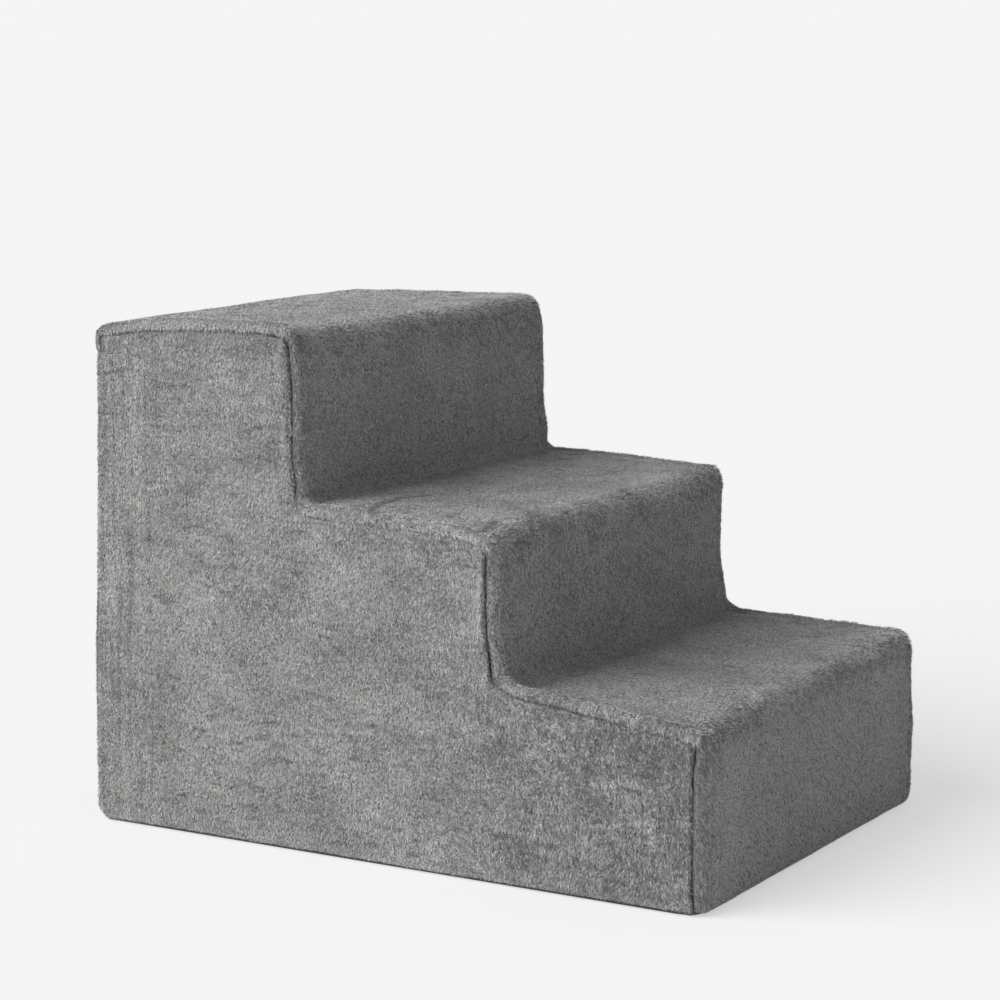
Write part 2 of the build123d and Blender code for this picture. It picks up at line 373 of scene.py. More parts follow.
# How much of an edge the roundings at its two ends may take up
MOST_ROUNDED = 0.98


def rounded_outline(corners, radii, inset, spacing, closed):
    """Points along an outline of level and upright edges, moved in by inset, with rounded corners.

    Gives each point, the direction that faces out there, and the number of its edge, with a half
    for the rounding after that edge. There are as many points at any inset.
    """
    corners = [Vector(corner) for corner in corners]
    count = len(corners)
    edges = count if closed else count - 1
    ways = [(corners[(i + 1) % count] - corners[i]).normalized() for i in range(edges)]
    inward = [Vector((way.y, -way.x)) for way in ways]
    moved, rounding, convex = [], [], []
    for i, corner in enumerate(corners):
        before = inward[i - 1] if closed or i else None
        after = inward[i] if i < edges else None
        near = [side for side in (before, after) if side is not None]
        moved.append(corner + inset * sum(near, Vector((0, 0))))
        turn = ways[i - 1].cross(ways[i]) if len(near) == 2 else 0
        convex.append(turn < 0)
        radius = radii[i] - inset if turn < 0 else radii[i] + inset
        rounding.append(max(radius, SMALLEST_ROUNDING) if radii[i] else 0)
    for i in range(edges):
        j = (i + 1) % count
        excess = rounding[i] + rounding[j] - MOST_ROUNDED * (moved[j] - moved[i]).length
        if excess > 0:
            rounding[i if rounding[i] > rounding[j] else j] -= excess
    found = []
    for i in range(edges):
        j = (i + 1) % count
        start = moved[i] + ways[i] * rounding[i]
        end = moved[j] - ways[i] * rounding[j]
        pieces = max(1, round((corners[j] - corners[i]).length / spacing))
        found += [(start.lerp(end, k / pieces), -inward[i], i) for k in range(pieces)]
        if not closed and i == edges - 1:
            found.append((end, -inward[i], i))
        elif rounding[j]:
            side = 1 if convex[j] else -1
            centre = end + inward[i] * rounding[j] * side
            for k in range(ARC_STEPS):
                angle = math.pi / 2 * k / ARC_STEPS
                out = -inward[i] * math.cos(angle) + ways[i] * math.sin(angle) * side
                found.append((centre + out * rounding[j] * side, out, i + 0.5))
    return [np.array(values) for values in zip(*found)]


def smooth(low, high, values):
    """A smooth step from 0 at low to 1 at high."""
    share = np.clip((np.asarray(values) - low) / (high - low), 0, 1)
    return share * share * (3 - 2 * share)


def rising(values, low, high, level=0.0):
    """A smooth step from 0 to 1 between two distances in mm over a level."""
    return smooth(level + low * MM, level + high * MM, values)


def falling(values, low, high, level=0.0):
    """A smooth step from 1 to 0 between two distances in mm over a level."""
    return 1 - rising(values, low, high, level)


def bell(values, centre, width):
    """A bell curve, with its centre and its width in mm."""
    return np.exp(-(((values - centre * MM) / (width * MM)) ** 2))


def waves(points, size, seed):
    """Smooth noise from about -1 to 1, with swells of this many millimetres."""
    offset = Vector((seed * 7.3, seed * 3.1, seed * 5.7))
    return np.array([noise.noise(Vector(point) / (size * MM) + offset) for point in points])


def uneven_filling(points, swell, near_seam, seed):
    """How far a filled cover is uneven, in swells of this many mm, and gathered along seams."""
    cover = sizes()
    uneven = cover.undulation * waves(points, swell, seed)
    uneven += 0.5 * cover.undulation * waves(points, 0.4 * swell, seed + 1)
    return uneven + cover.pucker * waves(points, 13, seed + 2) * near_seam


def read_vectors(items, key):
    """A vector of each vertex or face of a mesh, such as its place, as the rows of an array."""
    values = np.empty(len(items) * 3)
    items.foreach_get(key, values)
    return values.reshape(-1, 3)


def write_points(mesh, points):
    mesh.vertices.foreach_set("co", points.ravel())
    mesh.update()


def face_out(mesh, direction):
    """Turn an open shell's faces so that most of them face this way."""
    if (read_vectors(mesh.vertices, "normal") @ np.array(direction, float)).sum() < 0:
        mesh.flip_normals()
        mesh.update()


def mesh_of(bm, name, smoothed=True):
    """Turn a bmesh into a mesh."""
    mesh = bpy.data.meshes.new(name)
    for face in bm.faces:
        face.smooth = smoothed
    bm.to_mesh(mesh)
    bm.free()
    return mesh


def new_object(name, data):
    """Put a mesh, lamp or camera in the scene."""
    made = bpy.data.objects.new(name, data)
    bpy.context.scene.collection.objects.link(made)
    return made


def new_piece(name, mesh, slot, *materials):
    """Put a mesh in the scene as a piece that rides with the stairs."""
    piece = new_object(name, mesh)
    for material in materials:
        mesh.materials.append(material)
    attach(piece, "stairs")
    return piece


def finished_mesh(made):
    """The mesh that an object's modifiers make."""
    bpy.context.view_layer.update()
    depsgraph = bpy.context.evaluated_depsgraph_get()
    return bpy.data.meshes.new_from_object(made.evaluated_get(depsgraph))


def thicken(piece, thickness):
    """Give cloth its thickness on the inside."""
    wall = piece.modifiers.new("cloth thickness", "SOLIDIFY")
    wall.thickness = thickness
    wall.offset = -1
    wall.use_even_offset = False
    finished = finished_mesh(piece)
    piece.modifiers.clear()
    thin, piece.data = piece.data, finished
    bpy.data.meshes.remove(thin)


# How the soft filling moves the cover away from straight steps. Each line gives heights in mm over
# the nominal tread, at these shares of the way from the tread's inner end to its nose
LINE_SHARES = (0.0, 0.25, 0.5, 0.75, 1.0)
# A tread's level, front and back, and its lines along the left edge, the middle and the right edge,
# and how far the rolled edge stands up along its left
TREAD_LINES = (
    (TOP_TREAD, TOP_RISER, BACK, (
        (1.8, 3.4, 5.5, 6.8, 8), (2.4, 3.4, 4.3, 4.5, 4.5), (3.2, 4, 4.5, 5, 5.5),
        (0, 6.2, 7, 6.8, 5),
    )),
    (MIDDLE_TREAD, MIDDLE_RISER, TOP_RISER, (
        (6.5, 6.3, 5, 2, -4), (4, 4, 3, 1.5, -0.5), (5, 5, 4, 2.5, 0), (0, 0, 0, 0, 0),
    )),
    (LOWEST_TREAD, FRONT, MIDDLE_RISER, (
        (6, 5, 2, -1.5, -5.5), (4, 3, 1.5, 0.5, 0), (6, 5.5, 4.5, 3.5, 3), (7, 3.4, 1.8, 0, 0),
    )),
)
# How far in from the sides the lines along the edges go over to the line in the middle, in mm
EDGE_REACH = 110
# Level of a riser's foot, its place, and in mm how far it comes forward just over its foot, how far
# at half its height, and how far its side seams lie forward of a straight line
RISER_LINES = (
    (MIDDLE_TREAD, TOP_RISER, 7.0, 4.5, 2.5),
    (LOWEST_TREAD, MIDDLE_RISER, 3.5, -1.5, -2.5),
    (0.0, FRONT, 0.0, 0.0, -2.2),
)
# Wrinkles in the strip on the middle tread, as points in mm, with their width and depth
WRINKLES = (
    ((-190, 10), (-182, 16), (-159, 24), (-144, 27), (-117, 31), (-92, 20)),
    ((-188, -87), (-167, -80), (-147, -77)),
)
WRINKLE_WIDTH = 3.2
WRINKLE_DEPTH = 1.3 * MM
# Radius of the rounding at the bottom corners
ROUND_FOOT = 14 * MM
# In front of this, in mm, the fur is longest
LONG_FUR_END = -215


def settle(points):
    """Move points of the cover as its soft filling does."""
    x, y, z = points.T
    left = falling(x, 0, EDGE_REACH, -HALF_WIDTH)
    right = rising(x, -EDGE_REACH, 0, HALF_WIDTH)
    at_left = falling(x, 5, 30, -HALF_WIDTH)
    rise = np.zeros(len(points))
    for level, front, back, lines in TREAD_LINES:
        share = (back - y) / (back - front)
        left_edge, middle, right_edge, roll = (
            np.interp(share, LINE_SHARES, line) for line in lines
        )
        height = left * left_edge + right * right_edge + (1 - left - right) * middle
        over = rising(z, -75, -4, level) * falling(z, 8, 45, level)
        along = falling(y, -4, 14, back)
        rise += MM * height * over * along
        rise += MM * roll * over * along * at_left
    forward = np.zeros(len(points))
    at_side = rising(np.abs(x), -20, -6, HALF_WIDTH)
    for level, riser, at_foot, at_half, seam in RISER_LINES:
        over_foot, over_half = bell(z - level, 15, 22), bell(z - level, 72, 48)
        near = bell(y - riser, 0, 26) * (0.45 + 0.55 * np.maximum(left, right))
        forward += MM * (at_foot * over_foot + at_half * over_half) * near
        beside = rising(z, -4, 22, level) * falling(z, 105, 130, level)
        forward += MM * seam * (bell(y - riser - WALL, 0, 6) * beside) * at_side
    # The back corners spread at the foot, and the bottom corners are sewn round
    spread = rising(np.abs(x), -32, -8, HALF_WIDTH) * rising(y, -60, -5, BACK)
    spread *= 1 - 2 * rising(z, 60, 380)
    beside = np.clip((np.abs(x) - (HALF_WIDTH - ROUND_FOOT)) / ROUND_FOOT, 0, 1)
    before = np.clip((np.abs(y) - (BACK - ROUND_FOOT)) / ROUND_FOOT, 0, 1)
    rise += 1.8 * MM * falling(z, 0, 10) * smooth(0.2, 0.6, np.minimum(beside, before))
    # The front corner on the left, where the seam runs down to the floor, is the least round
    drop = np.clip(ROUND_FOOT - z, 0, ROUND_FOOT)
    arc = ROUND_FOOT - np.sqrt(ROUND_FOOT**2 - drop**2)
    share = np.where(y < 0, np.where(x < 0, 0.35, 1.45), 0.75)
    tuck = arc * share * np.minimum(beside, before)
    # The foot of the right front corner stands out
    toe = rising(x, -60, 0, HALF_WIDTH) * falling(y, 0, 60, FRONT) * falling(z, 75, 135)
    out = (1.2 * spread + 3.4 * toe) * MM - tuck
    back = (2.4 * spread - 1.8 * toe) * MM - tuck * np.sign(y)
    return points + np.column_stack([np.sign(x) * out, back - forward, rise])


def fur_covered(y):
    """How much long fur hides the seams beside the treads, on the middle tread and in front."""
    on_middle = falling(y, 30, 55) * rising(y, -5, 12, MIDDLE_RISER)
    return on_middle + 1 - rising(y, LONG_FUR_END, -190)


def furry_corner(points):
    """How much long fur hides the seams round the top back corners."""
    _, y, z = points.T
    return rising(y, -26, -14, BACK) * rising(z, -8, 2, BACK_SEAM)


def wrinkled(points):
    """How near points are to a wrinkle of the middle tread, from 0 to 1."""
    near = np.zeros(len(points))
    for line in WRINKLES:
        for start, end in zip(line, line[1:]):
            start, way = np.array(start) * MM, (np.array(end) - np.array(start)) * MM
            share = np.clip((points[:, :2] - start) @ way / (way @ way), 0, 1)
            apart = np.linalg.norm(points[:, :2] - start - share[:, None] * way, axis=1)
            near = np.maximum(near, bell(apart, 0, WRINKLE_WIDTH))
    return near * (np.abs(points[:, 2] - MIDDLE_TREAD) < 30 * MM)


# The pile

# What the pile reads from each point of the cloth that it grows on
PILE_VALUES = {
    "pile_direction": "FLOAT_VECTOR",
    "pile_length": "FLOAT",
    "pile_density": "FLOAT",
    "pile_stray": "FLOAT",
    "pile_tone": "FLOAT",
    "pile_folds": "FLOAT",
}
# The way that the nap is brushed: down, and forward
NAP_WAY = np.array([0.0, -0.45, -0.9])
# How far the tufts lean over in degrees, and how much that and their way varies
LEAN, LEAN_VARIES, WAY_VARIES = 56, 14, (75, 40)
# Tufts per square metre, for one per square centimetre
PER_SQUARE_METRE = 1e4
# No tip comes nearer to the floor than this
FLOOR_GAP = 0.3 * MM
# Over how much further depth in a seam the pile thins out
THINNING = 1.6 * MM


def grow_attributes(piece, depth, rooted, length_share, stray, tone_and_light_shift, folds, seed):
    """Set how the pile grows at each point.

    Depth is the height over the flat cloth, rooted how deep the pile still grows in full, length
    share how long it is, stray how disorderly, the shift how many tones lighter the pile is
    painted, which carries painted light and shade, and folds how much the nap lies in upright
    folds.
    """
    mesh = piece.data
    points, normals = read_vectors(mesh.vertices, "co"), read_vectors(mesh.vertices, "normal")
    lie = NAP_WAY - normals * (normals @ NAP_WAY)[:, None]
    lie /= np.maximum(np.linalg.norm(lie, axis=1), 1e-6)[:, None]
    turned = np.cross(normals, lie)
    wide, narrow = WAY_VARIES
    swirl = wide * waves(points, 55, seed) + narrow * waves(points, 18, seed + 1)
    angle = stray * np.radians(swirl)
    lie = lie * np.cos(angle)[:, None] + turned * np.sin(angle)[:, None]
    lean = np.radians(LEAN - 8 * stray) + np.radians(LEAN_VARIES) * waves(points, 30, seed + 2)
    direction = normals * np.cos(lean)[:, None] + lie * np.sin(lean)[:, None]
    dense = np.clip((depth + rooted) / THINNING + 1, 0, 1)
    # The pile is short at the hem, where it is caught in the seam
    length_share = length_share * (0.5 + 0.5 * rising(points[:, 2], 3, 14))
    dense = dense * rising(points[:, 2], 0.5, 3.5)
    folds = np.maximum(folds, 0.5 * rising(points[:, 1], -90, -40, BACK))
    ones = np.ones(len(points))
    values = (direction, length_share, dense, stray * ones, tone_and_light_shift * ones, folds)
    for (name, kind), value in zip(PILE_VALUES.items(), values):
        layer = mesh.attributes.new(name, kind, "POINT")
        key = "vector" if kind == "FLOAT_VECTOR" else "value"
        layer.data.foreach_set(key, np.asarray(value, np.float32).ravel())


def tuft_mesh():
    """One tuft of fibre, as a thin pointed ribbon of unit length and width."""
    bm = bmesh.new()
    bmesh.ops.create_circle(bm, cap_ends=True, segments=3, radius=1)
    bm.verts.ensure_lookup_table()
    for vert, place in zip(bm.verts, ((-0.5, 0, 0), (0.5, 0, 0), (0, 0.12, 1))):
        vert.co = place
    return new_object("tuft", mesh_of(bm, "tuft"))


# The lowest and highest turn, width, length and tone of single tufts, by number of the random draw
TUFT_RANGES = {21: (0.0, 2 * math.pi), 31: (0.7, 1.25), 41: (0.65, 1.2), 51: (0.95, 5.35)}
# The size of locks of tufts that lie alike in mm, and how far they turn
LOCK_SIZE, LOCK_TURN = 5.5, 2.6
# Upright folds in the nap: their size in mm, number and reach in tones, and how they are drawn out
FOLDS = ((12, 6, 13.0), (3.4, 9, 20.0))
UPRIGHT = (1.0, 1.0, 0.05)
# A crease is where the noise is over this level
CREASE_LEVEL = 0.59
# Patches stay as calm as they are at this disorder, and the nap is fleecy over the other
CALM, FLEECY = 0.65, 0.6
# How strong the fine grain is, and how it is drawn out along Z: on the strip, and on the panels
STRIP_GRAIN, PANEL_GRAIN = (13.0, 0.35), (10.0, 0.8)


def pile_tree(tuft, finishes, seed, grain, upright):
    """A node group that grows tufts on a cloth: it scatters, leans, sizes and shades them.

    Grain is how strong the fine grain is, and the lower upright is, the more it runs up and down.
    """
    tree = bpy.data.node_groups.new("pile", "GeometryNodeTree")
    for name, way in (("Cloth", "INPUT"), ("Pile", "OUTPUT")):
        tree.interface.new_socket(name, in_out=way, socket_type="NodeSocketGeometry")
    add = partial(add_node, tree)
    place = add("GeometryNodeInputPosition")

    def swell(size, number, stretch=(1.0, 1.0, 1.0)):
        moved = (number * PIT_MOVE[0] / 4, PIT_MOVE[1], 0.0)
        moved = add(VECTOR_MATH, "MULTIPLY_ADD", (place, stretch, moved))
        return add(NOISE, None, {"Vector": moved, "Scale": size_scale(size), "Detail": 1.0})

    direction, long, dense, disorder, tone_and_light_shift, folded = (
        add("GeometryNodeInputNamedAttribute", {"data_type": kind}, {"Name": name})
        for name, kind in PILE_VALUES.items()
    )
    spin, wide, share, tone = (
        add("FunctionNodeRandomValue", None, {"Min": low, "Max": high, "Seed": seed + number})
        for number, (low, high) in TUFT_RANGES.items()
    )
    cover = sizes()
    density = add(MATH, "MULTIPLY", (dense, cover.pile_count * PER_SQUARE_METRE))
    scattered = add(
        "GeometryNodeDistributePointsOnFaces", None,
        {"Mesh": add("NodeGroupInput"), "Seed": seed, "Density": density},
    )
    # Pits between the tufts, where the backing shows
    level = add(MATH, "SUBTRACT", (PIT_LEVEL + 0.03, add(MATH, "MULTIPLY", (disorder, 0.08))))
    pit = add("FunctionNodeCompare", "LESS_THAN", (swell(PIT_SIZE, 4), level))
    kept = add("GeometryNodeDeleteGeometry", None, (scattered, pit))
    # Each tuft leans as the nap lies, turned with its neighbours where the pile is disorderly
    swirl = add(VECTOR_MATH, "SUBTRACT", (swell(LOCK_SIZE, 1).outputs["Color"], (0.5, 0.5, 0.5)))
    reach = add(MATH, "MULTIPLY", (disorder, LOCK_TURN))
    swirl = add(VECTOR_MATH, "SCALE", {0: swirl, "Scale": reach})
    lean = add(VECTOR_MATH, "ADD", (direction, swirl))
    aimed = add("FunctionNodeAlignRotationToVector", {"axis": "Z"}, {"Vector": lean})
    spun = add("FunctionNodeEulerToRotation", None, (add(COMBINE, None, {"Z": spin}),))
    turned = add("FunctionNodeRotateRotation", {"rotation_space": "LOCAL"}, (aimed, spun))
    wide = add(MATH, "MULTIPLY", (wide, cover.pile_width))
    long = add(MATH, "MULTIPLY", (add(MATH, "MULTIPLY", (share, long)), cover.pile_length))
    scale = add(COMBINE, None, (wide, long, long))
    # Tone from tuft to tuft, in fine grain, in short brushed streaks, in wide soft patches, and in
    # upright folds. A pattern has a size in mm, a number, how it is drawn out, and its reach
    calm = add(MATH, "MINIMUM", (disorder, CALM))
    # The shift adds the painted light and shade that the cloth gives each place
    tone = add(MATH, "ADD", (tone, tone_and_light_shift))
    for size, number, stretch, reach in (
        (1.8, 5, (1.0, 1.0, upright), grain),
        (9, 2, (1.0, 0.4, 1.3), add(MATH, "MULTIPLY", (disorder, 6.0))),
        (22, 8, (1.0, 0.6, 1.0), add(MATH, "MULTIPLY", (calm, 6.0))),
        (55, 3, (1.0, 1.0, 1.0), add(MATH, "MULTIPLY", (calm, 9.0))),
    ):
        swollen = add(MATH, "SUBTRACT", (swell(size, number, stretch), 0.5))
        tone = add(MATH, "MULTIPLY_ADD", (swollen, reach, tone))
    for size, number, reach in FOLDS:
        fold = add(MATH, "SUBTRACT", (swell(size, number, UPRIGHT), 0.5))
        fold = add(MATH, "MULTIPLY", (fold, folded))
        tone = add(MATH, "MULTIPLY_ADD", (fold, reach, tone))
    # Painted shade of creases in the nap, as dark streaks: short and level, and upright where it is
    # fleecy
    fleecy = add(MATH, "MAXIMUM", (add(MATH, "SUBTRACT", (disorder, FLEECY)), 0.0))
    for size, number, stretch, reach in (
        (4.5, 7, (1.0, 0.22, 1.0), 27.0),
        (3.6, 10, (1.0, 1.0, 0.3), add(MATH, "MULTIPLY", (fleecy, 100.0))),
    ):
        mark = add(MATH, "SUBTRACT", (swell(size, number, stretch), CREASE_LEVEL))
        mark = add(MATH, "MULTIPLY", (add(MATH, "MAXIMUM", (mark, 0.0)), reach))
        tone = add(MATH, "SUBTRACT", (tone, mark))
    tone = add(MATH, "MAXIMUM", (add(MATH, "ROUND", (tone,)), 0.0))
    tone = add(MATH, "MINIMUM", (tone, len(finishes) - 1.0))
    marked = {"Geometry": kept, "Name": "tone", "Value": tone}
    marked = add("GeometryNodeStoreNamedAttribute", None, marked)
    kind = add("GeometryNodeObjectInfo", None, {"Object": tuft}).outputs["Geometry"]
    grown = {"Points": marked, "Instance": kind, "Rotation": turned, "Scale": scale}
    grown = add("GeometryNodeInstanceOnPoints", None, grown)
    real = add("GeometryNodeRealizeInstances", None, (grown,))
    shown = add("GeometryNodeInputNamedAttribute", None, {"Name": "tone"})
    for number, finish in enumerate(finishes):
        chosen = {0: shown, 1: float(number), "Epsilon": 0.3}
        chosen = add("FunctionNodeCompare", "EQUAL", chosen)
        real = add("GeometryNodeSetMaterial", None, (real, chosen, finish))
    # No tip reaches through the floor
    low = add(SEPARATE, None, (place,)).outputs["Z"]
    lift = add(MATH, "MAXIMUM", (add(MATH, "SUBTRACT", (FLOOR_GAP, low)), 0.0))
    lift = add(COMBINE, None, {"Z": lift})
    add("NodeGroupOutput", None, (add("GeometryNodeSetPosition", None, {0: real, "Offset": lift}),))
    return tree


# Each cloth that the pile grows on is kept here until the pile has grown
BEDS = {}


def finish_cover(piece, node, parts):
    """Keep a cloth for its pile, give it its thickness, and let it stand for its node.

    Parts numbers each face by the part of the pile that grows on it.
    """
    layer = piece.data.attributes.new("part", "INT", "FACE")
    layer.data.foreach_set("value", np.asarray(parts, np.int32))
    BEDS[piece.name] = piece.data.copy()
    thicken(piece, sizes().cloth_thickness)
    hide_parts(node)


def grow_pile(name, cover, parts, tuft, finishes, seed):
    """Grow the pile on some parts of a cover's cloth, as a mesh of its own."""
    bm = bmesh.new()
    bm.from_mesh(BEDS[cover])
    part_of = bm.faces.layers.int["part"]
    bmesh.ops.delete(bm, geom=[f for f in bm.faces if f[part_of] not in parts], context="FACES")
    bed = new_object("bed", mesh_of(bm, "bed"))
    grain = STRIP_GRAIN if "runner" in cover else PANEL_GRAIN
    tree = pile_tree(tuft, finishes, seed, *grain)
    bed.modifiers.new("pile", "NODES").node_group = tree
    mesh = finished_mesh(bed)
    if len(mesh.polygons) == 0:
        raise RuntimeError(f"no pile grew on {cover}")
    mesh.name = name
    mesh.attributes.remove(mesh.attributes["tone"])
    mesh.shade_smooth()
    new_piece(name, mesh, "plush")
    bpy.data.objects.remove(bed)
    bpy.data.node_groups.remove(tree)


# The strip over the risers and treads

# From the seam to the flat of the strip: distance in from the side, depth under the surface, in mm.
# The first is for beside the treads, the second for beside the risers, which are rounder, and the
# third for the top back corners
ROLL_SECTION = (
    (6.5, 7.2), (4.5, 7.1), (2.7, 6.7), (1.3, 6.0), (0.5, 5.0), (0.1, 3.7), (0.3, 2.3), (1.1, 1.0),
    (2.6, 0.0), (4.7, -0.6), (7.2, -0.6), (10.0, -0.1), (13.5, 0.3), (18.0, 0.2), (26.0, 0.0),
)
RISER_SECTION = (
    (6.5, 7.2), (4.6, 7.1), (2.9, 6.9), (1.7, 6.4), (0.9, 5.7), (0.7, 4.7), (1.3, 3.3), (2.5, 1.9),
    (4.3, 0.8), (6.6, 0.1), (9.0, -0.3), (11.2, -0.1), (14.0, 0.3), (18.0, 0.2), (26.0, 0.0),
)
CORNER_SECTION = (
    (6.5, 6.6), (4.5, 6.5), (3.0, 6.2), (1.7, 5.7), (1.1, 5.1), (1.2, 4.4), (1.9, 3.5), (2.9, 2.5),
    (4.1, 1.6), (5.8, 0.7), (7.9, 0.2), (10.2, 0.0), (13.5, 0.0), (18.0, 0.0), (26.0, 0.0),
)
# From the flat to the end of the strip: distance before the end, depth under the surface, in mm
FLAP_END = (
    (9, -0.2), (6, -0.2), (3.5, 0.0), (1.8, 0.5), (0.6, 1.5), (0.5, 2.7), (2.0, 3.6), (5, 4.0),
)
FOOT_END = ((6.5, 0.0), (4.0, 0.2), (2.0, 0.9), (0.8, 2.0), (0.4, 3.4), (0.6, 5.0))
END_GAP = 1 * MM
ACROSS_SPACING = 6 * MM
ALONG_SPACING = 4 * MM
# How high the treads and risers are crowned between their seams
CROWN = 1.6 * MM
TURNED_IN_LIFT = 4 * MM
# How far the noses, the rolled edges and the seams reach into the strip and its pile
NOSE_REACH = 22
EDGE_FADE = 9 * MM
SEAM_FADE = 12 * MM


def runner_stations(inset):
    """Points, outward directions, depths and edges along the strip, from its foot to its flap."""
    corners = [
        (FRONT, HEM), (FRONT, LOWEST_TREAD), (MIDDLE_RISER, LOWEST_TREAD),
        (MIDDLE_RISER, MIDDLE_TREAD), (TOP_RISER, MIDDLE_TREAD), (TOP_RISER, TOP_TREAD),
        (BACK, TOP_TREAD), (BACK, BACK_SEAM + SEAM_CLEARANCE),
    ]
    radii = [0, NOSE_RADIUS, COVE_RADIUS, NOSE_RADIUS, COVE_RADIUS, NOSE_RADIUS, BACK_TOP_RADIUS, 0]
    points, facing, edge = rounded_outline(corners, radii, inset, ALONG_SPACING, False)
    foot_reach, flap_reach = FOOT_END[0][0] * MM, FLAP_END[0][0] * MM
    keep = ~((edge == 0) & (points[:, 1] < HEM + foot_reach + END_GAP))
    keep &= ~((edge == 6) & (points[:, 1] < BACK_SEAM + flap_reach + END_GAP))
    foot = [(FRONT + inset, HEM + before * MM) for before, _ in reversed(FOOT_END)]
    flap = [(BACK - inset, BACK_SEAM + SEAM_CLEARANCE + before * MM) for before, _ in FLAP_END]
    foot_depth = [below * MM for _, below in reversed(FOOT_END)]
    flap_depth = [below * MM for _, below in FLAP_END]
    points = np.vstack([foot, points[keep], flap])
    facing = np.vstack([[(-1, 0)] * len(foot), facing[keep], [(1, 0)] * len(flap)])
    edge = np.concatenate([[0] * len(foot), edge[keep], [6] * len(flap)])
    depth = np.concatenate([foot_depth, np.zeros(keep.sum()), flap_depth])
    return points, facing, depth, edge


